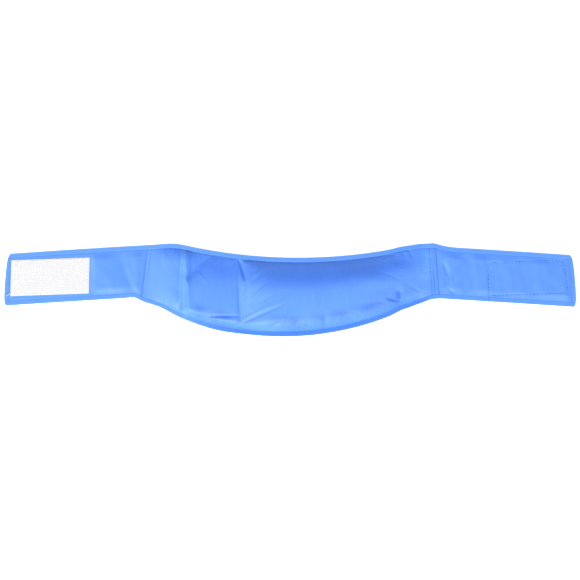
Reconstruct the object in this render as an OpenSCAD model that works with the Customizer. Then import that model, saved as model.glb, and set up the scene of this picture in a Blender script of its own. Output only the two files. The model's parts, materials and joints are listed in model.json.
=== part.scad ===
// Cold compression wrap: a crescent gel pad between two welded film sheets, with a strap at
// each end. The hook patch on the front of the left strap closes on the loop patch on the
// back of the right strap. The wrap lies flat on its back, front face up.
// Origin: under the middle of the wrap, on the surface it lies on. +X runs to the right end,
// +Y to the neck edge, +Z out of the front face. Millimetres.

/* [Outline] */
// Length of the wrap from end to end
wrap_len = 605; // [595:1:620]
// Width of each strap
strap_w = 55; // [52:1:58]
// Angle at which each strap runs down from the body, in degrees
strap_tilt = 3.5; // [3:0.1:4]
// Height of the line the strap centres run out from, above the origin
strap_y = 29.5; // [28:0.1:31]
// Distance the right strap lies lower than the left one
right_drop = 1.4; // [0:0.1:2]
// Height of the body's right shoulder above its strap
shoulder_step = 2.2; // [0:0.1:3]
// Radius of the hollow neck edge
neck_r = 551; // [500:1:600]
// Distance of the neck edge's lowest point to the right of the middle
neck_low_x = 8.5; // [0:0.5:12]
// Height of the neck edge's lowest point above the origin
neck_low_y = 34.2; // [33:0.1:36]
// Radius of the round belly edge
belly_r = 307; // [295:1:320]
// Distance of the belly edge's lowest point to the left of the middle
belly_low_x = 7.4; // [0:0.1:10]
// Distance of the belly edge's lowest point below the origin
belly_low_y = 49.2; // [47:0.1:51]
// Width of the welded band round the edge
weld_w = 4.8; // [4:0.1:6]

/* [Fold lines] */
// Distance of the seams between body and straps from the middle
seam_x = 154; // [150:1:158]
// Distance of the fold at the root of each closure tab from the middle
tab_x = 195; // [190:1:197]
// Length of the wedge-shaped chamber next to the left seam
wedge_len = 47; // [45:1:50]
// Length of the small chamber between the wedge and the main one
small_len = 53; // [50:1:56]
// Half of the clear gap left along every fold line
fold_gap = 0.4; // [0.4:0.1:0.6]

/* [Thickness] */
// Thickness of each film sheet
film_t = 0.5; // [0.4:0.05:0.5]
// Clearance between neighbouring layers
layer_gap = 0.05; // [0.04:0.01:0.08]
// Height of the weld plane in the middle of the body
body_z = 6; // [5:0.1:7]
// Height of the weld plane at the left tab
left_tab_z = 0.95; // [0.95:0.05:1.2]
// Height of the weld plane at the right tab, which lies on the loop patch
right_tab_z = 2.35; // [2.35:0.05:2.6]
// Rise of the front sheet over the weld plane in the wedge chamber
wedge_rise = 3; // [2:0.5:5]
// Rise of the front sheet over the weld plane in the small chamber
small_rise = 7.5; // [5:0.5:10]
// Rise of the front sheet over the weld plane in the main chamber
main_rise = 14.5; // [10:0.5:16]

/* [Hook and loop] */
// Length of the hook patch along the strap
hook_len = 83; // [80:1:83]
// Length of the loop patch along the strap
loop_len = 85; // [80:1:85]
// Width of both patches, a standard tape width
patch_w = 38; // [36:1:40]
// Distance from the end of the left strap to the hook patch
hook_inset = 8.5; // [8:0.5:10]
// Distance from the end of the right strap to the loop patch
loop_inset = 11; // [8:0.5:11]
// Angle at which both patches rise to the right, in degrees
patch_tilt = 2; // [0:0.1:3]
// Thickness of the woven tape of a patch
tape_t = 0.6; // [0.5:0.1:0.6]
// Height of the hooks or loops above the tape
pile_t = 1.2; // [1:0.1:1.2]
// Plain edge of the tape around the hooks or loops
selvage = 3.2; // [3:0.1:4]
// Diameter of the sewing thread
thread_d = 0.4; // [0.3:0.05:0.4]
// Length of one stitch
stitch_len = 3; // [2.5:0.1:3.5]
// Distance from one stitch to the next
stitch_pitch = 4; // [3.8:0.1:5]
// Distance of the stitch line from the edge of its patch
stitch_inset = 1.6; // [1.4:0.1:1.8]

/* [Hidden] */

end_slack = 1.6;
half_len = wrap_len / 2 + end_slack;
strap_half = strap_w / 2 / cos(strap_tilt);
wedge_x = wedge_len - seam_x;
main_x = wedge_x + small_len;
chamber_x = [-seam_x, wedge_x, main_x, seam_x];
chamber_rise = [wedge_rise, small_rise, main_rise];
main_parts = 4;
main_folds = [for (i = [0 : main_parts]) main_x + (seam_x - main_x) * i / main_parts];
fold_x = concat([-seam_x, wedge_x], main_folds);
shoulder_round = 3;
crotch_round = 2;
end_lean = 4.5;
end_bow = 1;
end_corner = 2.5;
chamber_run = 45;
slot_slope = 2.4;
bottom_run = 15;
seam_cut = 2;
weld_skin = 0.02;
body_columns = 13;
strap_columns = 4;
tab_columns = 12;
hook_x = hook_inset + hook_len / 2 - half_len;
loop_x = half_len - loop_inset - loop_len / 2;
stitch_tail = 8;
body_rows = [-2, -1, -0.92, -0.8, -0.6, -0.3, 0, 0.3, 0.6, 0.8, 0.92, 1, 2];
gel_rows = [for (r = body_rows) if (abs(r) < 0.93) r];
strap_rows = [-2, 0, 2];
tab_rows = [-2, -1.9, -1.75, -1.5, -1, 0, 1, 1.5, 1.75, 1.9, 2];

// Goes smoothly from 0 at a to 1 at b.
function ease(a, b, x) = let (t = max(0, min(1, (x - a) / (b - a)))) t * t * (3 - 2 * t);

// The lower of a and b, with the corner between them rounded over about r.
function soft_min(a, b, r) =
    let (h = max(0, min(1, 0.5 + (b - a) / (2 * r)))) b + (a - b) * h - r * h * (1 - h);

// Rise of a circular arc of radius r over its lowest point, at a distance x from it.
function sag(x, r) = r - sqrt(max(0, r * r - x * x));

function strap_mid(x) = strap_y - tan(strap_tilt) * abs(x) - right_drop * ease(0, seam_x, x);
function step_up(x) = shoulder_step * ease(0, seam_x / 2, x) * (1 - ease(seam_x, seam_x + 15, x));
function neck_edge(x) =
    soft_min(strap_mid(x) + strap_half + step_up(x),
        neck_low_y + sag(x - neck_low_x, neck_r), shoulder_round);
function belly_edge(x) =
    soft_min(strap_mid(x) - strap_half, sag(x + belly_low_x, belly_r) - belly_low_y, crotch_round);

// Rows run from -2 at the belly edge to 2 at the neck edge; -1 and 1 are the inner weld lines.
function row_y(x, r) =
    let (low = belly_edge(x), high = neck_edge(x))
    r < -1 ? low + weld_w * (r + 2)
    : r > 1 ? high - weld_w * (2 - r)
    : low + weld_w + (high - low - 2 * weld_w) * (r + 1) / 2;

// The ends lean with the strap and bow out a little between rounded corners.
function end_pull(x, r) =
    pow(max(0, abs(x) - tab_x) / (half_len - tab_x), 2)
    * (end_lean * (r + 2) / 4 + end_bow * pow(r / 2, 2) + end_corner * pow(r / 2, 10));
function plan(x, r) = [x - sign(x) * end_pull(x, r), row_y(x, r)];

// Height of the plane where the two sheets are welded together.
function weld_z(x) =
    let (tab_z = x < 0 ? left_tab_z : right_tab_z)
    tab_z + (body_z - tab_z) * ease(-tab_x, -20, x) * (1 - ease(90, tab_x, x));

// Each chamber swells away from its two ends; a slot over every fold lets the gel bend there.
function swell(x) =
    let (i = x < wedge_x ? 0 : x < main_x ? 1 : 2, a = chamber_x[i], b = chamber_x[i + 1],
        run = min(chamber_run, (b - a) / 2), near = min(x - a, b - x, run))
    chamber_rise[i] * (1 - pow(1 - near / run, 3));
function slot(x) = slot_slope * min([for (f = main_folds) max(0, abs(x - f) - fold_gap)]);
function rise(x, r) =
    abs(x) >= seam_x || abs(r) >= 1 ? 0
    : min(swell(x) * pow(1 - pow(abs(r), 2.5), 0.8), slot(x));
function sink(x, r) =
    abs(x) >= seam_x || abs(r) >= 1 ? 0
    : min(1, 1.6 * (1 - pow(abs(r), 3))) * ease(0, bottom_run, seam_x - abs(x));

function front_in(x, r) = weld_z(x) + weld_skin + rise(x, r);
function front_out(x, r) = front_in(x, r) + film_t - weld_skin;
function back_out(x, r) = (weld_z(x) - film_t) * (1 - sink(x, r));
function back_in(x, r) = back_out(x, r) + film_t - weld_skin;

// Spreads the columns of a piece so that they stand closer together near its folds.
function crowd(t) = t - sin(360 * t) / 9;

// Columns of a piece between the folds at x0 and x1, less a few at its left or right end.
function columns(x0, x1, steps, cut) =
    let (a = x0 + fold_gap, b = x1 - fold_gap)
    [for (i = [cut[0] : steps - cut[1]]) a + (b - a) * crowd(i / steps)];

// A closed skin between a lower and an upper height, over the given columns and rows.
module layer(xs, rows, low, high) {
    n = len(xs);
    m = len(rows);
    points = [
        for (side = [low, high]) for (x = xs) for (r = rows) concat(plan(x, r), side(x, r))
    ];
    top = n * m;
    faces = concat(
        [for (i = [0 : n - 2]) for (j = [0 : m - 2]) for (f = quad(i, j, m)) [f[0], f[1], f[2]]],
        [for (i = [0 : n - 2]) for (j = [0 : m - 2]) for (f = quad(i, j, m))
            [top + f[2], top + f[1], top + f[0]]],
        [for (i = [0 : n - 2]) for (f = wall((i + 1) * m, i * m, top)) f],
        [for (i = [0 : n - 2]) for (f = wall(i * m + m - 1, (i + 1) * m + m - 1, top)) f],
        [for (j = [0 : m - 2]) for (f = wall(j, j + 1, top)) f],
        [for (j = [0 : m - 2]) for (f = wall((n - 1) * m + j + 1, (n - 1) * m + j, top)) f]
    );
    polyhedron(points = points, faces = faces);
}
function quad(i, j, m) =
    let (a = i * m + j, b = a + m) [[a, b, b + 1], [a, b + 1, a + 1]];
function wall(a, b, up) = [[a, b, b + up], [a, b + up, a + up]];

module front_sheet(x0, x1, steps, rows) {
    color("dodgerblue")
        layer(columns(x0, x1, steps, [0, 0]), rows,
            function(x, r) front_in(x, r), function(x, r) front_out(x, r));
}
module back_sheet(x0, x1, steps, rows) {
    color("royalblue")
        layer(columns(x0, x1, steps, [0, 0]), rows,
            function(x, r) back_out(x, r), function(x, r) back_in(x, r));
}

// One segment of the gel filling; it stops short of the seams at both ends of the body.
module gel(i) {
    cut = [i == 0 ? seam_cut : 0, i == 5 ? seam_cut : 0];
    color("lightskyblue")
        layer(columns(fold_x[i], fold_x[i + 1], body_columns, cut), gel_rows,
            function(x, r) back_in(x, r) + layer_gap, function(x, r) front_in(x, r) - layer_gap);
}

// Puts children at the middle of the hook patch or of the loop patch, and turns them with it.
module at_patch(x, z) {
    translate([x, strap_mid(x), z]) rotate([0, 0, patch_tilt]) children();
}

// Woven tape with its field of hooks or loops, drawn with the field facing up.
module patch(length) {
    translate([-length / 2, -patch_w / 2, 0]) cube([length, patch_w, tape_t]);
    translate([selvage - length / 2, selvage - patch_w / 2, tape_t / 2])
        cube([length - 2 * selvage, patch_w - 2 * selvage, tape_t / 2 + pile_t]);
}

// A straight run of stitches lying on z = 0, centred on the origin along X.
module stitch_run(length) {
    count = floor(length / stitch_pitch);
    for (i = [0 : count - 1])
        translate([(i - (count - 1) / 2) * stitch_pitch - stitch_len / 2, 0, thread_d / 2])
            rotate([0, 90, 0]) cylinder(d = thread_d, h = stitch_len, $fn = 6);
}

// The rectangle of stitches that holds a patch. Its left column runs on past the lower corner
// by a tail.
module stitch_box(patch_len, tail) {
    length = patch_len - 2 * stitch_inset;
    width = patch_w - 2 * stitch_inset;
    for (side = [-1, 1])
        translate([0, side * width / 2, 0]) stitch_run(length - stitch_pitch / 2);
    translate([length / 2, 0, 0]) rotate([0, 0, 90]) stitch_run(width - stitch_pitch / 2);
    translate([-length / 2, -tail / 2, 0]) rotate([0, 0, 90])
        stitch_run(width + tail - stitch_pitch / 2);
}

module hook_patch() {
    color("white") at_patch(hook_x, left_tab_z + film_t + layer_gap) patch(hook_len);
}
module loop_patch() {
    color("white")
        at_patch(loop_x, right_tab_z - film_t - layer_gap) mirror([0, 0, 1]) patch(loop_len);
}
module hook_stitching() {
    color("ghostwhite") {
        at_patch(hook_x, left_tab_z + film_t + 2 * layer_gap + tape_t) stitch_box(hook_len, 0);
        at_patch(hook_x, left_tab_z - film_t - layer_gap)
            mirror([0, 0, 1]) stitch_box(hook_len, 0);
    }
}
module loop_stitching() {
    color("lightsteelblue") {
        at_patch(loop_x, right_tab_z + film_t + layer_gap) stitch_box(loop_len, stitch_tail);
        at_patch(loop_x, right_tab_z - film_t - 2 * layer_gap - tape_t)
            mirror([0, 0, 1]) stitch_box(loop_len, 0);
    }
}

front_sheet(-half_len, -tab_x, tab_columns, tab_rows);  // left_tab_front_sheet
back_sheet(-half_len, -tab_x, tab_columns, tab_rows);  // left_tab_back_sheet
hook_patch();
hook_stitching();
front_sheet(-tab_x, -seam_x, strap_columns, strap_rows);  // left_strap_front_sheet
back_sheet(-tab_x, -seam_x, strap_columns, strap_rows);  // left_strap_back_sheet
for (i = [0 : 5]) {
    front_sheet(fold_x[i], fold_x[i + 1], body_columns, body_rows);
    back_sheet(fold_x[i], fold_x[i + 1], body_columns, body_rows);
    gel(i);
}
front_sheet(seam_x, tab_x, strap_columns, strap_rows);  // right_strap_front_sheet
back_sheet(seam_x, tab_x, strap_columns, strap_rows);  // right_strap_back_sheet
front_sheet(tab_x, half_len, tab_columns, tab_rows);  // right_tab_front_sheet
back_sheet(tab_x, half_len, tab_columns, tab_rows);  // right_tab_back_sheet
loop_patch();
loop_stitching();
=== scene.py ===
"""Looks of the cold compression wrap: welded film sheets, gel, hook and loop patches, stitching.

Every place comes from the CAD frame. Arrays are in millimetres; meshes are made in metres.
"""
import json
import math

import bpy
import numpy as np
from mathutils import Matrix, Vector

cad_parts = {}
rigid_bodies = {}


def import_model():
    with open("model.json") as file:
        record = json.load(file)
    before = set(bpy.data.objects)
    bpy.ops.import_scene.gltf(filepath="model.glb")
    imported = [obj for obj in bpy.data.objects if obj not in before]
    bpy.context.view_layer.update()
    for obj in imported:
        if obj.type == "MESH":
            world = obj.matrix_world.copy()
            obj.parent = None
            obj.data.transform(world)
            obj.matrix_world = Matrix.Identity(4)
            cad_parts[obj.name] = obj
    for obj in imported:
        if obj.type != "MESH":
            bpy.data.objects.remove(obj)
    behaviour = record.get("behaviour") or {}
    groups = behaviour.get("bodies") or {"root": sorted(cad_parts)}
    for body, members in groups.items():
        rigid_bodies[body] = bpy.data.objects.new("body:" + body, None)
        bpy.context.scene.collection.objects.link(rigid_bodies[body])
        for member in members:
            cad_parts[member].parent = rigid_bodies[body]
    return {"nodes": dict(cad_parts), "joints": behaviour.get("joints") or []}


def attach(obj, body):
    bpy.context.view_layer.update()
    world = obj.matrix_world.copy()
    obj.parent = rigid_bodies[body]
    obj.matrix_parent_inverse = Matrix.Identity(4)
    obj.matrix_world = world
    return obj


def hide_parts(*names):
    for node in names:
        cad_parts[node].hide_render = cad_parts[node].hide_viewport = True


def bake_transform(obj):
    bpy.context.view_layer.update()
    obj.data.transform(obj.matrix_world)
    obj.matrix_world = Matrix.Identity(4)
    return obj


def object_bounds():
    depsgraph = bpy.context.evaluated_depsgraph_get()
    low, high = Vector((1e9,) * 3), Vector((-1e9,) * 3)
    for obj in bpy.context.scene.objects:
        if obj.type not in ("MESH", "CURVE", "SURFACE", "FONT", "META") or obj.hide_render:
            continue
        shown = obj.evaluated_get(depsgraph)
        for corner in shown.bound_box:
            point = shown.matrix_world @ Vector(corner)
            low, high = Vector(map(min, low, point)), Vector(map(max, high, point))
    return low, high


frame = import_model()
cad_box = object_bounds()

MM = 0.001
FILM = 0.42              # film thickness shown
WELD = 4.8               # width of the welded band along the edge
ROUNDED_END = 1.6        # how far the bulged ends stand past the CAD ends
HALF = max(-cad_box[0].x, cad_box[1].x) / MM + ROUNDED_END

MAIN_RISE, SMALL_RISE = 15.4, 9.0    # how far the chambers stand over the weld plane
CORNER_RISE, LOFT = 3.8, 1.8         # film drawn up beside the ridge, and over all the body
SHARPNESS = 1.6                      # how sharply one chamber meets the next

COLUMN = 1.6             # spacing of the grid along the wrap
INNER_ROWS = 61          # rows of the grid between the welded bands
BAND_ROWS = np.array([0, 0.12, 0.4, 0.9, 1.6, 2.4, 3.2, 3.9, 4.4])   # rows over a welded band

SIM = 0.01               # the cloth is simulated at ten times its size, where it is stable
SLACK = 0.022            # share by which the film is cut larger than the gel
WRINKLE_CAP = 4.0        # how far the simulation may move a point

TAPE = 0.55              # thickness of the tape under the hooks and loops
INSET = 1.6              # stitches in from the edge of a patch
PITCH, STITCH = 4.0, 3.1             # distance from stitch to stitch, and a stitch's length
TAIL = 8.0               # how far the end line of the loop patch runs on past its corner

joints = {j["name"]: j for j in frame["joints"]}


def fold_x(name):
    """Place of a fold along the wrap."""
    return joints[name]["pos_m"][0] / MM


SEAM_L, SEAM_R = fold_x("left_strap_fold"), fold_x("right_strap_fold")
RIDGE_X, CREASE_X = fold_x("body_fold_1"), fold_x("body_fold_2")
TAB_L, TAB_R = fold_x("left_tab_fold"), fold_x("right_tab_fold")


# ---------------------------------------------------------------- small tools
def ease(a, b, x):
    """0 up to a, 1 from b on, and a smooth step between; a may be the larger."""
    t = np.clip((x - a) / (b - a), 0, 1)
    return t * t * (3 - 2 * t)


def bump(x, width):
    """A bell of height 1 about 0."""
    return np.exp(-(x / width) ** 2)


def waves(x, y, length, seed, count=14):
    """Smooth seeded noise of about one wavelength, between about -1 and 1."""
    rng = np.random.default_rng(seed)
    total = np.zeros(np.broadcast(x, y).shape)
    for _ in range(count):
        a = rng.uniform(0, 2 * math.pi)
        k = 2 * math.pi / length * rng.uniform(0.6, 1.5)
        total += np.cos(k * (x * math.cos(a) + y * math.sin(a)) + rng.uniform(0, 2 * math.pi))
    return total / math.sqrt(count)


def crease(x, y, start, end, width, height):
    """A soft fold along a line: a ridge if height is above 0, a valley if below."""
    ax, ay = start
    bx, by = end
    length = (bx - ax) ** 2 + (by - ay) ** 2
    t = np.clip(((x - ax) * (bx - ax) + (y - ay) * (by - ay)) / length, 0, 1)
    d = np.hypot(x - ax - t * (bx - ax), y - ay - t * (by - ay))
    fade = np.sin(math.pi * np.clip(t, 0.06, 0.94)) ** 0.5
    return height * bump(d, width) * fade


# ---------------------------------------------------------------- outline from the CAD
def points_of(node):
    """The points of a CAD node."""
    return np.array([v.co[:] for v in frame["nodes"][node].data.vertices]) / MM


def outline():
    """x, low edge, high edge and weld height along the wrap, read from the CAD sheets."""
    names = ["left_strap"] + [f"segment_{i}" for i in range(1, 7)] + ["right_strap"]
    p = np.concatenate([points_of(n + "_front_sheet") for n in names])
    keys = np.round(p[:, 0], 2)
    cols = np.array([(x, q[:, 1].min(), q[:, 1].max(), q[:, 2].min())
                     for x in np.unique(keys) for q in [p[keys == x]]])
    parts = [cols]
    for side in (-1, 1):                           # the straps run on straight to the ends
        edge = cols[side * cols[:, 0] > SEAM_R + 18]
        far = np.arange(200, HALF + 6, 12.0) * side
        fits = [np.polyval(np.polyfit(edge[:, 0], edge[:, k], 1), far) for k in (1, 2)]
        level = np.full(len(far), edge[np.argmax(side * edge[:, 0]), 3])
        parts.append(np.column_stack([far] + fits + [level]))
    cols = np.concatenate(parts)
    return cols[np.argsort(cols[:, 0])]


def smooth_lookup(xs, ys):
    """A smooth curve through unevenly spaced points."""
    m = np.gradient(ys, xs)

    def at(x):
        x = np.asarray(x, float)
        i = np.clip(np.searchsorted(xs, x) - 1, 0, len(xs) - 2)
        h = xs[i + 1] - xs[i]
        t = (x - xs[i]) / h
        return ((1 + 2 * t) * (1 - t) ** 2 * ys[i] + t * (1 - t) ** 2 * h * m[i]
                + t * t * (3 - 2 * t) * ys[i + 1] + t * t * (t - 1) * h * m[i + 1])
    return at


cols = outline()
cad_low, cad_high, weld_z = (smooth_lookup(cols[:, 0], cols[:, k]) for k in (1, 2, 3))


def low_y(s):
    """Long edge at the belly: the gel draws the film in or out a little."""
    s = np.asarray(s, float)
    return (cad_low(s) + 2.6 * bump(s - SEAM_L - 17, 13) - 1.4 * bump(s - RIDGE_X - 27, 26)
            - 1.9 * bump(s - SEAM_R + 11, 9) + 1.1 * bump(s - SEAM_R + 37, 7))


def high_y(s):
    """Long edge at the neck."""
    s = np.asarray(s, float)
    return cad_high(s) + 1.0 * bump(s - SEAM_R - 1, 7) + 0.8 * bump(s - SEAM_R + 37, 8)


def patch_frame(node, skew, taper):
    """Centre c, angle a, half length l and half width w of a patch, and the heights z of its
    tape. The ends aren't cut quite square: skew leans both, taper leans them apart."""
    p = points_of(node)
    left, right = (p[side * p[:, 0] > (side * p[:, 0]).max() - 1.5][:, :2] for side in (-1, 1))
    mid_l, mid_r = ((e.min(0) + e.max(0)) / 2 for e in (left, right))
    ax = mid_r - mid_l
    return {"c": (mid_l + mid_r) / 2, "a": math.atan2(ax[1], ax[0]),
            "l": np.linalg.norm(ax) / 2, "w": np.ptp(left[:, 1]) / 2,
            "z": np.unique(np.round(p[:, 2], 3)), "skew": skew, "taper": taper}


def local(f, x, y):
    """Plan coordinates in a patch's own frame f."""
    c, a = f["c"], f["a"]
    dx, dy = x - c[0], y - c[1]
    u, v = dx * math.cos(a) + dy * math.sin(a), dy * math.cos(a) - dx * math.sin(a)
    return u - v * (f["skew"] + f["taper"] * np.clip(u / f["l"], -1, 1)), v


HOOK = patch_frame("hook_patch", skew=0.06, taper=0)
LOOP = patch_frame("loop_patch", skew=-0.05, taper=-0.08)


# ---------------------------------------------------------------- the grid of the wrap
def make_columns():
    """Places along the wrap, closer together at the seams, the ridge and the crease."""
    s = np.linspace(-HALF, HALF, 40001)
    near = sum(bump(s - at, wide) for at, wide in (
        (SEAM_L + 1, 4), (SEAM_R - 1, 6), (RIDGE_X, 9), (CREASE_X + 1, 5),
        (HOOK["c"][0] + HOOK["l"], 2), (LOOP["c"][0] - LOOP["l"] + INSET, 3)))
    count = np.cumsum((1 + 2.5 * np.minimum(1, near)) / COLUMN) * (s[1] - s[0])
    return np.interp(np.linspace(count[0], count[-1], int(count[-1]) | 1), count, s)


S = make_columns()                                     # place of each column along the wrap


def seam_lean(s):
    """How far the columns lean with the welded seams, per mm across."""
    return 0.12 * bump(s - SEAM_L, 18) - 0.08 * bump(s - SEAM_R, 15)


def plan():
    """Arrays x, y over columns and rows, with y0 and y1 the two edges of each column."""
    y0, y1 = low_y(S)[:, None], high_y(S)[:, None]
    t = np.linspace(0, 1, INNER_ROWS)[None, :]
    y = np.concatenate([y0 + BAND_ROWS, y0 + WELD + t * (y1 - y0 - 2 * WELD),
                        y1 - BAND_ROWS[::-1]], axis=1)
    s = S[:, None]
    share = (y - (y0 + y1) / 2) / ((y1 - y0) / 2)
    far = np.maximum(0, np.abs(s) - TAB_R) / (HALF - TAB_R)
    pull = far ** 2 * (4.5 * (share + 1) / 2 + share ** 2 + 2.5 * np.abs(share) ** 10)
    x = s - np.sign(s) * pull + seam_lean(s) * (y - (y0 + y1) / 2)
    return x, y, y0, y1


X, Y, Y0, Y1 = plan()
SS = S[:, None] + 0 * Y                                # its column's place, for each point
V = (Y - (Y0 + Y1) / 2) / ((Y1 - Y0) / 2 - WELD)       # -1 and 1 at the inner weld lines
EDGE = np.minimum(Y - Y0, Y1 - Y)                      # distance in from the nearer long edge
END = HALF - np.abs(SS)                                # distance in from the nearer end
CURL = 0.36 * ease(RIDGE_X - 6, CREASE_X + 14, SS) * (1 - ease(SEAM_R - 20, SEAM_R - 2, SS))
CURL *= 1 - 1.2 * ease(-0.5, 0.5, V)
ZW = weld_z(SS) + CURL * (WELD / 2 - np.minimum(EDGE, WELD))   # welded edges turn up a little


# ---------------------------------------------------------------- shape of the sheets
def soft_min(k, *parts):
    """The least of several surfaces, rounded where they meet; k is how tightly."""
    return -np.log(sum(np.exp(-k * p) for p in parts)) / k


def main_chamber(s, v):
    """Crowned towards the neck, with a steep flank at each long edge and a slope at each end."""
    left_end = np.clip(1 - (s - CREASE_X + 12) / 42, 0, 1)
    right_end = np.clip(1 - (SEAM_R - 8 - s) / 75, 0, 1)
    rise = MAIN_RISE * (1 - left_end ** 2.1) * (1 - right_end ** 1.5)
    crown = 0.99 - np.where(v > 0.06, 0.5, 0.16) * (v - 0.06) ** 2
    return rise * soft_min(15, 1.4 * (1.03 - v), crown, 5 * (1.02 + v)) * (s > CREASE_X - 12)


def small_chamber(u, v):
    """A small pillow between the ridge and the crease; u runs from -1 to 1 between them."""
    top = 1 - 0.5 * np.clip((0.1 - u) / 1.1, 0, 1) ** 1.2        # the gel stops short of a corner
    crown = 1 - np.where(v > -0.34, 0.52, 0.3) * (v + 0.34) ** 2 - 0.1 * u
    pillow = soft_min(12, 2.1 * (top - v), crown, 5 * (1.01 + v), 2.4 * (1.42 + u), 3 * (1.25 - u))
    return np.maximum(SMALL_RISE * pillow, 0)


def gel_height():
    """Height of the front sheet over the weld plane, before the film wrinkles."""
    s, v = SS, np.clip(V, -1, 1)
    mid, half = (RIDGE_X + CREASE_X) / 2, (CREASE_X - RIDGE_X) / 2
    u = (s - mid) / (half + 1.5)
    arch = 1 - np.abs(v) ** 6                      # flat over most of the width
    t = np.maximum(0, s - SEAM_L - 2)
    wedge = soft_min(1.5, 0.24 * t, 2.4 + 0.11 * t) * arch
    wedge *= 1 - ease(RIDGE_X - 1, RIDGE_X + 12, s)
    loft = LOFT * arch * ease(SEAM_L + 4, RIDGE_X, s) * (1 - ease(SEAM_R - 40, SEAM_R - 4, s))
    corner = CORNER_RISE * arch * ease(0.0, -0.9, u) * (s > RIDGE_X - 4) * (u < 1.2)
    tops = np.stack([main_chamber(s, v), small_chamber(u, v) + loft, wedge, loft + corner])
    inside = (s > SEAM_L + 2) & (s < SEAM_R - 2) & (np.abs(v) < 1)
    return inside * np.log(np.exp(tops * SHARPNESS).sum(0) / len(tops)) / SHARPNESS


def creases():
    """The folds that lie across the film, as the pad was packed and as the gel pulls it. Each
    is a line from start to end, its width and its height."""
    low, high = low_y(CREASE_X), high_y(CREASE_X)
    ridge_low, ridge_high = low_y(RIDGE_X) + 5, high_y(RIDGE_X) - 5
    folds = [
        # the ridge between the wedge and the small chamber
        ((RIDGE_X - 1.5, ridge_high), (RIDGE_X, ridge_low), 2.8, 1.0),
        ((RIDGE_X - 3.5, high - 6), (RIDGE_X - 2.5, high - 34), 2.6, 1.4),
        ((RIDGE_X - 8.5, high + 2), (RIDGE_X - 10, low + 14), 2.2, -0.9),
        # the crease between the small chamber and the main one
        ((CREASE_X, high - 5), (CREASE_X, low + 5), 1.2, -0.7),
        ((CREASE_X + 1, high - 6), (CREASE_X + 8, high - 30), 2.0, -2.4),
        ((CREASE_X + 6, high - 5), (CREASE_X + 22, high - 25), 4.6, 1.8),
        # folds in the small chamber
        ((RIDGE_X + 3, low + 18), (CREASE_X - 1, low + 19), 1.3, -1.5),
        ((RIDGE_X + 1, low + 17), (RIDGE_X + 14, low + 19), 1.9, -1.1),
        ((RIDGE_X + 5, low + 14), (CREASE_X - 2, low + 14), 3.0, 0.7),
        ((RIDGE_X + 9, high - 18), (RIDGE_X + 19, high - 31), 1.5, 0.4),
        # folds at both ends of the main chamber
        ((CREASE_X + 2, low + 31), (CREASE_X + 26, low + 34), 1.8, -0.6),
        ((SEAM_R - 37, 2), (SEAM_R - 38, -15), 2.2, -1.9),
        ((SEAM_R - 41, 0), (SEAM_R - 42, -16), 3.0, 1.0),
        ((SEAM_R - 34, -12), (SEAM_R - 4, 3), 2.2, 0.9),
        ((SEAM_R - 8, 36), (SEAM_R - 14, 8), 7.0, 2.4),
        # folds in the straps
        ((SEAM_R + 9, 28), (SEAM_R + 14, 14), 2.2, -1.3),
        ((SEAM_R + 13, 20), (SEAM_R + 19, 4), 2.4, 0.5),
        ((SEAM_R + 13, 2), (SEAM_R + 20, -4), 1.6, -0.6),
        ((SEAM_L - 20, 20), (SEAM_L - 13, -2), 3.0, -0.5),
    ]
    return sum(crease(X, Y, *fold) for fold in folds) * (EDGE > WELD) * ease(0, 3, EDGE - WELD)


def puckers():
    """Short ripples that run in from the welded edges where the film is drawn up by the gel."""
    total = np.zeros(X.shape)
    for edge, seed in ((Y - Y0, 11), (Y1 - Y, 12)):
        rng = np.random.default_rng(seed)
        for _ in range(26):
            at = rng.uniform(SEAM_L + 4, SEAM_R - 4)
            lean, wide = rng.normal(0, 0.35), rng.uniform(1.4, 2.6)
            reach, tall = rng.uniform(5, 13), rng.uniform(0.15, 0.55) * rng.choice((-1, 1))
            d = edge - WELD                        # distance in from the weld
            total += tall * bump(X - at - lean * d, wide) * np.exp(-d / reach) * ease(0, 2, d)
    return total


def blurred(a):
    """Average over about 15 mm both ways."""
    for axis, reach in ((0, 5), (1, 7)):
        wide = np.pad(a, [(reach, reach) if k == axis else (0, 0) for k in range(3)])
        total = np.cumsum(np.insert(wide, 0, 0, axis=axis), axis=axis)
        first = np.arange(a.shape[axis])
        span = 2 * reach + 1
        a = (np.take(total, first + span, axis) - np.take(total, first, axis)) / span
    return a


def grid_quads(n, m):
    """Faces over a grid of n columns and m rows."""
    i, j = np.meshgrid(np.arange(n - 1), np.arange(m - 1), indexing="ij")
    k = (i * m + j).ravel()
    return np.stack([k, k + m, k + m + 1, k + 1], 1)


def add_cloth(ob, rest, frames):
    """Cloth with a little pressure from the gel side, held at the pinned points."""
    cloth = ob.modifiers.new("cloth", "CLOTH")
    c = cloth.settings
    c.quality = 5
    c.mass = 0.02
    c.tension_stiffness = c.compression_stiffness = 80
    c.shear_stiffness = 15
    c.bending_stiffness = 0.8
    c.tension_damping = c.compression_damping = c.shear_damping = 1
    c.air_damping = 1
    c.vertex_group_mass = "pin"
    c.rest_shape_key = rest
    c.use_pressure = True
    c.uniform_pressure_force = 5
    c.effector_weights.gravity = 0
    cloth.collision_settings.use_collision = False
    cloth.collision_settings.use_self_collision = False
    cloth.point_cache.frame_start, cloth.point_cache.frame_end = 1, frames


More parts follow.
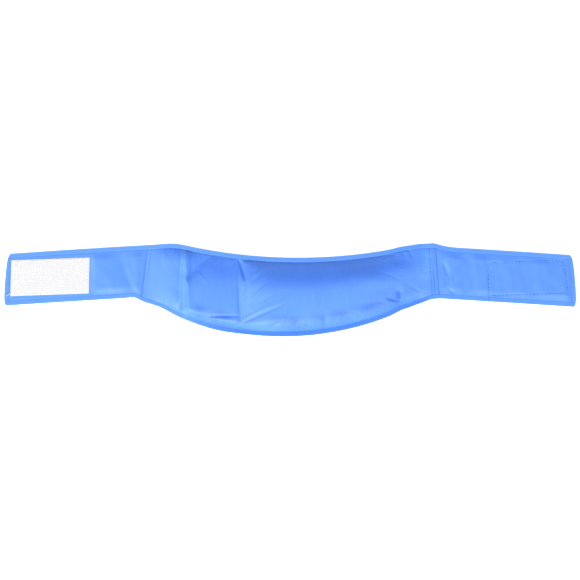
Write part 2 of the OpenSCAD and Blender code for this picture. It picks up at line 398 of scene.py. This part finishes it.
def wrinkles(z, side, frames):
    """How a cloth simulation moves the filled part of one sheet. The film is cut a little
    larger than the gel, so that it wrinkles between its welded edges."""
    c0, c1 = np.searchsorted(S, SEAM_L + 1), np.searchsorted(S, SEAM_R - 1)
    filled = (slice(c0, c1), slice(len(BAND_ROWS), len(BAND_ROWS) + INNER_ROWS))
    p = np.stack([X[filled], Y[filled], z[filled]], -1)
    n, m = p.shape[:2]
    quads = grid_quads(n, m)
    mesh = bpy.data.meshes.new("film")
    mesh.from_pydata((p.reshape(-1, 3) * SIM).tolist(), [], quads[:, ::side].tolist())
    ob = bpy.data.objects.new("film", mesh)
    bpy.context.scene.collection.objects.link(ob)
    pinned = np.ones((n, m), bool)
    pinned[1:-1, 1:-1] = False
    if side > 0:                                   # the two folds keep their shape
        pinned |= (np.abs(SS[filled] - RIDGE_X + 1) < 9) | (np.abs(SS[filled] - CREASE_X) < 3)
    else:                                          # so does the part that lies on the table
        pinned |= z[filled] < 0.05
    group = ob.vertex_groups.new(name="pin")
    group.add(np.flatnonzero(pinned.ravel()).tolist(), 1.0, "REPLACE")
    ob.shape_key_add(name="Basis")
    rest = ob.shape_key_add(name="rest")
    wide = 1 + SLACK * (1 + 0.5 * waves(p[..., 0], p[..., 1], 60, 5))
    rest.data.foreach_set("co", (p * wide[..., None] * SIM).ravel())
    rest.value = 0
    add_cloth(ob, rest, frames)
    scene = bpy.context.scene
    for f in range(1, frames + 1):
        scene.frame_set(f)
    result = ob.evaluated_get(bpy.context.evaluated_depsgraph_get())
    co = np.zeros(n * m * 3)
    result.data.vertices.foreach_get("co", co)
    scene.frame_set(1)
    bpy.data.objects.remove(ob)
    moved = co.reshape(n, m, 3) / SIM - p
    moved -= 0.75 * blurred(moved)                 # keep the wrinkles, not the swelling
    far = np.linalg.norm(moved, axis=-1, keepdims=True)
    out = np.zeros(X.shape + (3,))
    out[filled] = moved * np.minimum(1, WRINKLE_CAP / np.maximum(far, 1e-6))
    return out


def weld_groove():
    """Depth of the grooves along the welded band and of the welded lines at both seams."""
    groove = 0.2 * bump(EDGE - WELD, 0.5) + 0.07 * bump(EDGE - 2.9, 0.4)
    groove += 0.2 * bump(END - WELD, 0.5) * (EDGE > WELD)
    low_half = ease(0.3, -0.2, V)
    for at, depth, part in ((SEAM_L, 0.5, 1), (SEAM_L + 4.4, 0.22, 1 - low_half),
                            (SEAM_R - 5, 0.3, 1), (SEAM_R - 2, 0.3, low_half),
                            (SEAM_R + 2.2, 0.45, 1)):
        groove = groove + depth * part * bump(SS - at, 0.6) * ease(3.5, 5, EDGE)
    return groove


GROOVE = weld_groove()


def on_patch(f, margin):
    """1 over a patch, easing to 0 at a margin round it."""
    u, v = local(f, X, Y)
    return ease(margin, 0, np.maximum(np.abs(u) - f["l"], np.abs(v) - f["w"]))


def stitch_line(f, depth):
    """The groove that the stitches pull into the film along a patch's edge."""
    u, v = local(f, X, Y)
    l, w = f["l"] - INSET, f["w"] - INSET
    d = np.abs(np.maximum(np.abs(u) - l, np.abs(v) - w))
    return depth * bump(d, 1.0)


def tone():
    """How dark the film is painted with shade, in the weld grooves and on the gel's steep flanks,
    0 to 1, or how light it is painted with highlights, 0 to -1."""
    band = EDGE - WELD
    # painted shade on the gel's steep lower flank inside the lower weld (belly) and on its upper
    # slope (flank), a little uneven
    belly = (0.85 * bump(band - 12, 5) + 0.4 * bump(band - 2, 4)) * ease(-0.25, -0.45, V)
    flank = 0.33 * bump(V - 0.55, 0.22)
    painted_shade = belly * (0.75 + 0.25 * waves(X, Y, 34, 7)) + flank
    painted_shade *= ease(RIDGE_X, RIDGE_X + 12, SS) * ease(SEAM_R - 20, SEAM_R - 45, SS)
    painted_shade *= 1 - 0.9 * bump(SS - CREASE_X - 20, 20)
    # the weld grooves are painted darker as shade, the more the deeper they are cut
    dark = np.clip(GROOVE / 0.5 + painted_shade, 0, 1)
    ridge_low, ridge_high = low_y(RIDGE_X) + 4, high_y(RIDGE_X) - 4
    # painted highlights: a stripe on the ridge's left flank, a line beside the right seam, lines
    # along the outer edge and beside the inner weld line, and the top stitch line of the loop
    # patch
    light = crease(X, Y, (RIDGE_X - 5, ridge_high), (RIDGE_X - 4.5, ridge_low), 2.4, 0.8)
    light += crease(X, Y, (SEAM_R - 9, 44), (SEAM_R - 7, 16), 5, 0.5)
    light += 0.5 * bump(EDGE - 0.4, 0.5) + 0.25 * bump(EDGE - 3.7, 0.4)
    light += stitch_line(LOOP, 0.4) * (local(LOOP, X, Y)[1] > 0.5 * LOOP["w"])
    return np.clip(dark - light, -1, 1)


MARK = tone()


def front_surface():
    """Heights of the front sheet: over the gel, and slightly rippled along the straps."""
    strap = ease(0, 8, np.maximum(SEAM_L - SS, SS - SEAM_R)) * ease(0, 8, EDGE - WELD)
    strap = strap * ease(0, 8, END - WELD) * (1 - on_patch(HOOK, 7))
    ripple = 0.9 + 0.6 * waves(X, Y * 0.3, 26, 21) + 0.1 * waves(X, Y * 0.6, 12, 22)
    height = gel_height()
    z = ZW + FILM + height + creases() + puckers() + strap * ripple
    z += 0.22 * ease(0, 6, EDGE - WELD) * waves(X, Y, 28, 3) * ease(0.3, 1.5, height)
    return z - stitch_line(LOOP, 0.22) - 0.12 * bump(EDGE, 0.2)


def back_surface():
    """Heights of the back sheet, which sags to the table under the gel."""
    full = ease(0, 15, np.minimum(SS - SEAM_L, SEAM_R - SS))
    sink = np.minimum(1, 1.6 * (1 - np.abs(np.clip(V, -1, 1)) ** 3)) * full
    z = (ZW - FILM) * (1 - sink) + 0.12 * bump(EDGE, 0.2)
    return z + stitch_line(HOOK, 0.12) - 0.4 * puckers() + 0.2 * sink * (1 + waves(X, Y, 34, 8))


FRONT = np.stack([X, Y, front_surface()], -1)
BACK = np.stack([X, Y, back_surface()], -1)
FRONT += wrinkles(FRONT[..., 2], 1, 20)
BACK += wrinkles(BACK[..., 2], -1, 10)
FRONT[..., 2] -= GROOVE
BACK[..., 2] = np.maximum(BACK[..., 2] + GROOVE, 0.02)       # never below the table


# ---------------------------------------------------------------- meshes from the grid
def normals_of(p, side):
    """Unit normals of a grid of points, up if side is 1."""
    n = np.cross(np.gradient(p, axis=0), np.gradient(p, axis=1)) * side
    return n / np.maximum(np.linalg.norm(n, axis=-1, keepdims=True), 1e-9)


def link(name, verts, faces, mark=None):
    """A smooth mesh object; mark is each point's tone, for its material."""
    mesh = bpy.data.meshes.new(name)
    mesh.from_pydata((verts * MM).tolist(), [], faces)
    mesh.shade_smooth()
    if mark is not None:
        mesh.attributes.new("mark", "FLOAT", "POINT").data.foreach_set("value", mark)
    ob = bpy.data.objects.new(name, mesh)
    bpy.context.scene.collection.objects.link(ob)
    return ob


def shell(name, outer, inner, side, normals=None, mark=None):
    """A closed solid between two grids of points; side is 1 if the outer one faces up. normals
    are of both grids, and mark is the tone of each point, from tone()."""
    n, m = outer.shape[:2]
    top = grid_quads(n, m)
    low = top[:, ::-1] + n * m
    ring = np.concatenate([np.arange(m - 1), np.arange(n - 1) * m + m - 1,
                           n * m - 1 - np.arange(m - 1), (n - 1 - np.arange(n - 1)) * m])
    after = np.roll(ring, -1)
    wall = np.stack([ring, after, after + n * m, ring + n * m], 1)
    faces = np.concatenate([top, low, wall])[:, ::side]
    both = np.concatenate([outer.reshape(-1, 3), inner.reshape(-1, 3)])
    ob = link(name, both, faces.tolist(), None if mark is None else np.tile(mark.ravel(), 2))
    if normals is None:
        normals = normals_of(outer, side), -normals_of(inner, side)
    flat = np.concatenate([a.reshape(-1, 3) for a in normals])
    ob.data.normals_split_custom_set_from_vertices(flat.tolist())
    uv = ob.data.uv_layers.new(name="Weave")
    st = np.concatenate([outer[..., :2].reshape(-1, 2)] * 2) * MM
    index = np.zeros(len(ob.data.loops), int)
    ob.data.loops.foreach_get("vertex_index", index)
    uv.data.foreach_set("uv", st[index].ravel())
    return ob


def inward(p, side, depth):
    """The same surface a little further in, kept on its own side of the weld plane."""
    q = p - normals_of(p, side) * depth
    q[..., 2] = np.where(side * (q[..., 2] - ZW) < 0.03, ZW + side * 0.03, q[..., 2])
    return q


def column(x):
    """The grid's column nearest to a place."""
    return int(np.argmin(np.abs(S - x)))


def middle(a, b):
    """Halfway between two folds."""
    return (fold_x(a) + fold_x(b)) / 2


FOLDS = ["left_tab_fold", "left_strap_fold", "body_fold_1", "body_fold_2", "body_curl",
         "body_fold_3", "body_fold_4", "right_strap_fold", "right_tab_fold"]
REACH = {n: 19 if "strap" in n else 23 for n in FOLDS}  # half length about each fold
REACH.update(left_tab_fold=15, right_tab_fold=11)       # the patches start just beyond
CUTS = [-HALF, TAB_L - REACH["left_tab_fold"] - 1]      # where one mesh ends and the next begins
CUTS += [middle(a, b) for a, b in zip(FOLDS, FOLDS[1:])]
CUTS += [TAB_R + REACH["right_tab_fold"] + 1, HALF]


def sides(name):
    """The bodies to the left and right of a fold."""
    a, b = joints[name]["parent"], joints[name]["child"]
    return (b, a) if joints[name]["axis"][1] > 0 else (a, b)


def bend(ob, name):
    """Bake the place of a piece that crosses a fold into its mesh."""
    x, z = fold_x(name), joints[name]["pos_m"][2]
    left, right = sides(name)
    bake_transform(ob)


SPANS = ["left_tab"] + FOLDS + ["right_tab"]
sheets = []
for face, outer, side in (("front", FRONT, 1), ("back", BACK, -1)):
    inner = inward(outer, side, FILM)
    n_out, n_in = normals_of(outer, side), -normals_of(inner, side)
    for name, a, b in zip(SPANS, CUTS, CUTS[1:]):
        part = slice(column(a), column(b) + 1)
        ob = shell(f"{face}_sheet_{name}", outer[part], inner[part], side,
                   (n_out[part], n_in[part]), MARK[part])
        sheets.append(ob)
        if name in FOLDS:
            bend(ob, name)
            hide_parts(*[f"{body}_{face}_sheet" for body in sides(name)])
        else:
            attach(ob, name)
            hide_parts(f"{name}_{face}_sheet")


# ---------------------------------------------------------------- gel between the sheets
gels = []
rows = slice(len(BAND_ROWS) + 2, len(BAND_ROWS) + INNER_ROWS - 2)    # just inside the welds
gel_top, gel_low = inward(FRONT, 1, FILM + 0.1), inward(BACK, -1, FILM + 0.1)
gel_top[..., 2] = np.maximum(gel_top[..., 2], gel_low[..., 2] + 0.05)
gel_cuts = [SEAM_L + 5] + CUTS[3:-3] + [SEAM_R - 5]
for i, (name, a, b) in enumerate(zip(FOLDS[1:-1], gel_cuts, gel_cuts[1:])):
    part = (slice(column(a), column(b) + 1), rows)
    ob = shell(f"gel_{i + 1}", gel_top[part], gel_low[part], 1)
    bend(ob, name)
    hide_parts(*[f"{body}_gel" for body in sides(name) if body.startswith("segment")])
    gels.append(ob)


# ---------------------------------------------------------------- hook and loop patches
def world(f, u, v, z):
    """Points of a patch's own frame f, in the frame of the wrap."""
    c, a = f["c"], f["a"]
    u = u + v * (f["skew"] + f["taper"] * np.clip(u / f["l"], -1, 1))
    return np.stack([c[0] + u * math.cos(a) - v * math.sin(a),
                     c[1] + u * math.sin(a) + v * math.cos(a), z + 0 * u], -1)


def tape(name, f, side):
    """Woven tape: a thin plate with rounded edges, a fine rib and slightly uneven long edges."""
    def across(half):
        """Rows from edge to edge, with three close ones that round each edge."""
        soft = np.array([0, 0.15, 0.45])
        flat = np.linspace(-half + 0.9, half - 0.9, int(half * 2.4))
        return np.concatenate([-half + soft, flat, half - soft[::-1]])

    u, v = np.meshgrid(across(f["l"]), across(f["w"]), indexing="ij")
    rough = 0.1 * waves(u, 0 * u, 3.1, 31) * ease(f["w"] - 2, f["w"], np.abs(v)) * np.sign(v)
    edge = np.minimum(f["l"] - np.abs(u), f["w"] - np.abs(v))
    rib = 0.03 * np.cos(2 * math.pi * v / 1.6)
    rib = rib - 0.16 * bump(edge, 0.28) - 0.05 * bump(edge - INSET, 0.7)
    base = f["z"][0] if side > 0 else f["z"][-1]
    face = base + side * TAPE
    ob = shell(name, world(f, u, v - rough, face + side * rib), world(f, u, v - rough, base), side)
    return ob, face


def collar(first, ring):
    """Faces between a ring of points, from number first on, and the ring after it."""
    for j in range(ring):
        a, b = first + j, first + (j + 1) % ring
        yield a, b, b + ring, a + ring


def tube(path, radius, ring):
    """A thin closed tube along a path of points in one plane."""
    path = np.asarray(path, float)
    t = np.gradient(path, axis=0)
    t /= np.linalg.norm(t, axis=1, keepdims=True)
    across = np.array([0.0, 1.0, 0.0])
    up = np.cross(t, across)
    a = -2 * math.pi * np.arange(ring)[None, :, None] / ring      # so that the faces look out
    verts = path[:, None] + radius * (np.cos(a) * up[:, None] + np.sin(a) * across)
    last = (len(path) - 1) * ring
    faces = [band for start in range(0, last, ring) for band in collar(start, ring)]
    faces += [range(ring)[::-1], range(last, last + ring)]
    return verts.reshape(-1, 3), faces


def with_holes(template, half):
    """A stitch with the dimpled needle hole at each end, and which of its points are dark: the
    holes, painted dark as shade.
    """
    verts, faces = template
    parts, n, count = [verts], 8, len(verts)
    a = 2 * math.pi * np.arange(n) / n
    for k, end in ((count, -half), (count + 3 * n, half)):
        ring = np.stack([end + 0.5 * np.cos(a), 0.5 * np.sin(a), 0 * a - 0.2], 1)
        parts += [ring, ring * [1, 1, 0] + [0, 0, 0.05],
                  ring * [0.35, 0.35, 0] + [end * 0.65, 0, -0.08]]
        faces = [*faces, *collar(k, n), *collar(k + n, n),
                 range(k, k + n)[::-1], range(k + 2 * n, k + 3 * n)]
    return np.concatenate(parts), faces, np.arange(count + 6 * n) >= count


def scatter(name, template, spots):
    """Many copies of a small form as one mesh. The template is its points, its faces and maybe
    its dark points. Each spot is a patch's frame, then u, v, z, turn, size and side in it."""
    verts, faces, *dark = template
    points, all_faces = [], []
    for k, (f, u, v, z, turn, size, side) in enumerate(spots):
        c, s = math.cos(turn), math.sin(turn)
        x = (verts[:, 0] * c - verts[:, 1] * s) * size
        y = (verts[:, 0] * s + verts[:, 1] * c) * size
        points.append(world(f, u + x, v + y * side, z + side * verts[:, 2] * size))
        all_faces += [[i + k * len(verts) for i in face] for face in faces]
    mark = np.tile(dark[0], len(points)).astype(float) if dark else None
    return link(name, np.concatenate(points), all_faces, mark)


def field(f, pitch, seed, spread):
    """Places in rows over the field of a patch, each a little off, with their row and column
    and two random numbers."""
    rng = np.random.default_rng(seed)
    l, w = f["l"] - 3.4, f["w"] - 3.4              # clear of the stitches
    for i, u in enumerate(np.arange(-l, l, pitch)):
        for j, v in enumerate(np.arange(-w, w, pitch * 1.1)):
            du, dv, turn, size = rng.normal(0, 1, 4)
            yield u + spread * du, v + spread * dv, i, j, turn, size


hook_tape, hook_face = tape("hook_tape", HOOK, 1)
loop_tape, loop_face = tape("loop_tape", LOOP, -1)
hook = tube([(0, 0, -0.1), (0, 0, 0.55), (0.1, 0, 0.9), (0.34, 0, 1.12), (0.6, 0, 1.0),
             (0.66, 0, 0.78)], 0.1, 4)
hooks = scatter("hooks", hook, [
    (HOOK, u, v, hook_face, (0 if j % 2 else math.pi) + 0.25 * turn, 1 + 0.03 * size, 1)
    for u, v, i, j, turn, size in field(HOOK, 1.55, 41, 0.06)])
arch = [(-0.55 * math.cos(t), 0, 1.1 * math.sin(t) - 0.1) for t in np.linspace(0, math.pi, 7)]
loops = scatter("loops", tube(arch, 0.07, 3), [
    (LOOP, u, v, loop_face, 3.1 * turn, 0.95 + 0.08 * max(-1.5, min(0.6, size)), -1)
    for u, v, i, j, turn, size in field(LOOP, 1.5, 42, 0.35)])
for ob, body, slot in ((hook_tape, "left_tab", "hook_tape"), (hooks, "left_tab", "hook_tape"),
                       (loop_tape, "right_tab", "loop_tape"), (loops, "right_tab", "loop_tape")):
    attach(ob, body)
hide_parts("hook_patch")
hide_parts("loop_patch")


# ---------------------------------------------------------------- stitching
def run(start, end):
    """Middles of the stitches of one straight run, with the turn of the run."""
    (u0, v0), (u1, v1) = start, end
    length = math.hypot(u1 - u0, v1 - v0)
    count = int(length // PITCH)
    for i in range(count):
        t = 0.5 + (i - (count - 1) / 2) * PITCH / length
        yield u0 + (u1 - u0) * t, v0 + (v1 - v0) * t, math.atan2(v1 - v0, u1 - u0)


def stitch_box(f, tail):
    """The closed box of stitches round a patch, with a tail on its left end line."""
    l, w = f["l"] - INSET, f["w"] - INSET
    for side in (-1, 1):
        yield from run((-l + 1, side * w), (l - 1, side * w))
    yield from run((l, -w + 1), (l, w - 1))
    yield from run((-l, -w - tail + 1), (-l, w - 1))


half = STITCH / 2
thread = [(x, 0, 0.24 - 0.5 * abs(x / half) ** 3) for x in np.linspace(-half, half, 9)]
stitch = with_holes(tube(thread, 0.2, 6), half + 0.1)
jitter = np.random.default_rng(51)


def surface_z(grid, f, u, v):
    """Height of a sheet at a place on a patch."""
    x, y, _ = world(f, np.float64(u), np.float64(v), 0.0)
    return float(grid.reshape(-1, 3)[np.argmin((X - x) ** 2 + (Y - y) ** 2), 2])


def sew(name, f, levels, body):
    """A patch's thread, one box of stitches on each face. A level is a height, or the grid of
    the sheet that it lies on, with its side and its tail."""
    spots = []
    for level, side, tail in levels:
        for u, v, turn in stitch_box(f, tail):
            z = level if np.isscalar(level) else surface_z(level, f, u, v) + side * 0.06
            turn, size = turn + jitter.normal(0, 0.03), 1 + jitter.normal(0, 0.03)
            spots.append((f, u, v, z, turn, size, side))
    ob = scatter(name, stitch, spots)
    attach(ob, body)
    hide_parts(name.replace("_thread", "_stitching"))
    return ob


hook_thread = sew("hook_thread", HOOK, [(hook_face, 1, 0), (BACK, -1, 0)],
                  "left_tab")
loop_thread = sew("loop_thread", LOOP, [(FRONT, 1, TAIL), (loop_face, -1, 0)],
                  "right_tab")
loose = tube([(0, 0, 0.1), (0.9, 0, 0.3), (2, 0, 0.25), (3.2, 0, 0.1), (4.4, 0, 0.15),
              (5.6, 0, 0.3)], 0.36, 6)
thread_end = scatter("thread_end", loose, [
    (HOOK, -HOOK["l"] + 0.5, -HOOK["w"] + 3.4, hook_face, math.radians(-146), 1, 1)])
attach(thread_end, "left_tab")


# ---------------------------------------------------------------- materials
class Material:
    """A node material in the making. What goes into a node is a socket or a plain value."""

    def __init__(self, name):
        self.data = bpy.data.materials.new(name)
        self.data.use_nodes = True
        self.surface = self.data.node_tree.nodes["Principled BSDF"]

    def put(self, node, inputs):
        """Link each socket to its input, and set the other inputs to their values."""
        for name, value in inputs.items():
            if isinstance(value, bpy.types.NodeSocket):
                self.data.node_tree.links.new(value, node.inputs[name])
            else:
                node.inputs[name].default_value = value

    def node(self, kind, inputs=None, **settings):
        n = self.data.node_tree.nodes.new(kind)
        for key, value in settings.items():
            setattr(n, key, value)
        self.put(n, inputs or {})
        return n

    def math(self, operation, *values):
        return self.node("ShaderNodeMath", dict(enumerate(values)), operation=operation).outputs[0]

    def mark(self):
        """The tone that the mesh holds."""
        return self.node("ShaderNodeAttribute", attribute_name="mark").outputs["Fac"]

    def mix(self, factor, a, b):
        return self.node("ShaderNodeMix", {"Factor": factor, "A": a, "B": b},
                         data_type="RGBA").outputs["Result"]

    def noise(self, scale, detail, **place):
        inputs = {"Scale": scale, "Detail": detail, **place}
        return self.node("ShaderNodeTexNoise", inputs).outputs["Fac"]

    def weave(self, place, pitch):
        """Height of a plain weave: two crossed sets of round threads."""
        scale = 2 * math.pi / (pitch * MM) / 20
        inputs = {"Scale": scale, "Distortion": 0.0, "Vector": place}
        return self.math("MULTIPLY", *[
            self.node("ShaderNodeTexWave", inputs, bands_direction=direction).outputs["Fac"]
            for direction in ("X", "Y")])

    def spread(self, value, **ends):
        """The value moved from one range to another."""
        inputs = {key.replace("_", " "): end for key, end in ends.items()}
        return self.node("ShaderNodeMapRange", {"Value": value, **inputs}).outputs["Result"]

    def relief(self, height, strength, distance, **under):
        inputs = {"Strength": strength, "Distance": distance, "Height": height, **under}
        return self.node("ShaderNodeBump", inputs).outputs["Normal"]

    def finish(self, **inputs):
        self.put(self.surface, {key.replace("_", " "): value for key, value in inputs.items()})
        return self.data


def tint(color, share=1):
    """A colour with the whole of it, or each part, made darker or lighter, up to 1."""
    return (*np.minimum(1, np.multiply(color, share)).tolist(), 1)


def film_material(name, color, deep):
    """Laminated nylon: a satin skin over a fine weave, with painted shade in the weave's hollows.
    The film is painted darker with shade and lighter with highlights, as the mark from tone()
    says."""
    m = Material(name)
    uv = m.node("ShaderNodeUVMap", uv_map="Weave").outputs["UV"]
    weave = m.weave(uv, 0.5)
    along = m.node("ShaderNodeMapping", {"Scale": (1.0, 0.06, 1.0), "Vector": uv})
    streak = m.noise(900.0, 2.0, Vector=along.outputs["Vector"])
    threads = m.math("MULTIPLY_ADD", weave, 0.22, streak)
    # the weave's hollows painted darker as shade, with random streaks of tone
    plain = m.mix(m.spread(threads, From_Min=0.2, From_Max=1.0), tint(deep), tint(color))
    mark = m.mark()
    # painted shade where the mark is above 0
    painted_shade = m.mix(mark, plain, tint(deep, (0.45, 0.64, 0.85)))
    # painted highlight where the mark is below 0
    painted_highlight = m.mix(m.math("MULTIPLY", mark, -1.0), painted_shade, tint(color, 1.35))
    place = m.node("ShaderNodeNewGeometry").outputs["Position"]
    rough = m.spread(m.noise(38.0, 4.0, Vector=place), To_Min=0.42, To_Max=0.58)
    fine = m.relief(weave, 0.18, 0.00006)
    crinkled = m.relief(m.noise(260.0, 3.0, Vector=uv), 0.12, 0.0004, Normal=fine)
    return m.finish(Base_Color=painted_highlight, Roughness=rough, Normal=crinkled, Sheen_Weight=0.12,
                    Sheen_Roughness=0.4, Specular_IOR_Level=0.6)


def cloth_material(name, color, dark, pitch, rough, hole_shade=0.45):
    """Woven tape or thread: crossed threads with painted shade in the weave's hollows and in the
    needle holes.
    """
    m = Material(name)
    place = m.node("ShaderNodeTexCoord").outputs["Object"]
    threads = m.math("MULTIPLY_ADD", m.weave(place, pitch), 0.5, m.noise(420.0, 4.0, Vector=place))
    # the weave's hollows painted darker as shade, with random noise of tone
    plain = m.mix(threads, tint(dark), tint(color))
    # the needle holes painted dark as shade, by hole_shade
    holed = m.mix(m.mark(), plain, tint(dark, hole_shade))
    return m.finish(Base_Color=holed, Roughness=rough, Sheen_Weight=0.3,
                    Normal=m.relief(threads, 0.35, 0.0002))


def gel_material():
    """Cloudy blue gel, soft and wet."""
    m = Material("gel")
    cloudy = m.mix(m.noise(60.0, 5.0), (0.2, 0.45, 0.9, 1), (0.42, 0.68, 0.97, 1))
    return m.finish(Base_Color=cloudy, Roughness=0.18, Subsurface_Weight=0.3)


def floor_material():
    """Pale and plain. It glows to the camera only, so that it casts no light on the wrap."""
    m = Material("floor")
    seen = m.node("ShaderNodeLightPath").outputs["Is Camera Ray"]
    return m.finish(Base_Color=(0.9, 0.9, 0.9, 1), Roughness=0.9, Specular_IOR_Level=0.0,
                    Emission_Color=(1, 1, 1, 1), Emission_Strength=m.math("MULTIPLY", seen, 0.88))


def paint(obs, m):
    for ob in obs:
        ob.data.materials.clear()
        ob.data.materials.append(m)


# each film's second colour is painted shade: in the weave's hollows, and darkened further in the
# grooves and on the flanks
paint([o for o in sheets if o.name.startswith("front")],
      film_material("front_film", (0.098, 0.29, 0.98), (0.08, 0.252, 0.93)))
paint([o for o in sheets if o.name.startswith("back")],
      film_material("back_film", (0.085, 0.28, 0.94), (0.07, 0.24, 0.88)))
paint(gels, gel_material())
# each tape's and thread's second colour is painted shade, in the weave's hollows and the needle
# holes
paint([hook_tape, hooks],
      cloth_material("hook_tape", (0.75, 0.75, 0.755), (0.655, 0.655, 0.67), 0.7, 0.75))
paint([loop_tape, loops],
      cloth_material("loop_tape", (0.92, 0.93, 0.95), (0.75, 0.76, 0.8), 0.7, 0.9))
paint([hook_thread, thread_end],
      cloth_material("white_thread", (0.86, 0.86, 0.9), (0.66, 0.66, 0.7), 0.35, 0.6, 0.8))
paint([loop_thread],
      cloth_material("blue_thread", (0.14, 0.36, 0.95), (0.07, 0.2, 0.7), 0.35, 0.6))


# ---------------------------------------------------------------- studio
def add_object(name, data, place):
    """A lamp or camera at a place in the scene."""
    ob = bpy.data.objects.new(name, data)
    ob.location = place
    bpy.context.scene.collection.objects.link(ob)
    return ob


def add_lamp(name, place, size, power):
    """A round soft lamp that looks at the middle of the wrap. Places and sizes are in metres."""
    lamp = bpy.data.lights.new(name, "AREA")
    lamp.shape, lamp.size, lamp.energy = "DISK", size, power
    ob = add_object(name, lamp, place)
    ob.rotation_euler = (-Vector(place)).to_track_quat("-Z", "Y").to_euler()


def add_sky(strength):
    sky = bpy.data.worlds.new("World")
    bpy.context.scene.world = sky
    sky.use_nodes = True
    light = sky.node_tree.nodes["Background"]
    light.inputs["Color"].default_value = (1, 1, 1, 1)
    light.inputs["Strength"].default_value = strength


def add_floor():
    bpy.ops.mesh.primitive_plane_add(size=8, location=(0, 0, -0.0002))
    floor = bpy.context.object
    floor.name = "floor"
    paint([floor], floor_material())


def add_camera(margin):
    """Straight above the wrap, as far off as puts its length and a margin across the picture."""
    cam = bpy.data.cameras.new("camera")
    cam.lens, cam.sensor_width = 100, 36
    span = (cad_box[1].x - cad_box[0].x) * (1 + margin)
    centre = (cad_box[0] + cad_box[1]) / 2
    bpy.context.scene.camera = add_object(
        "camera", cam, (centre.x, centre.y, span * cam.lens / cam.sensor_width))


add_sky(0.26)
add_lamp("key", (-0.9, -2.65, 2.5), size=1.7, power=136)
add_lamp("side", (-2.5, -0.1, 2.7), size=1.5, power=54)
add_lamp("fill", (2.1, -1.6, 2.7), size=1.7, power=44)
add_floor()
add_camera(margin=0.0165)
bpy.context.scene.view_settings.view_transform = "Standard"
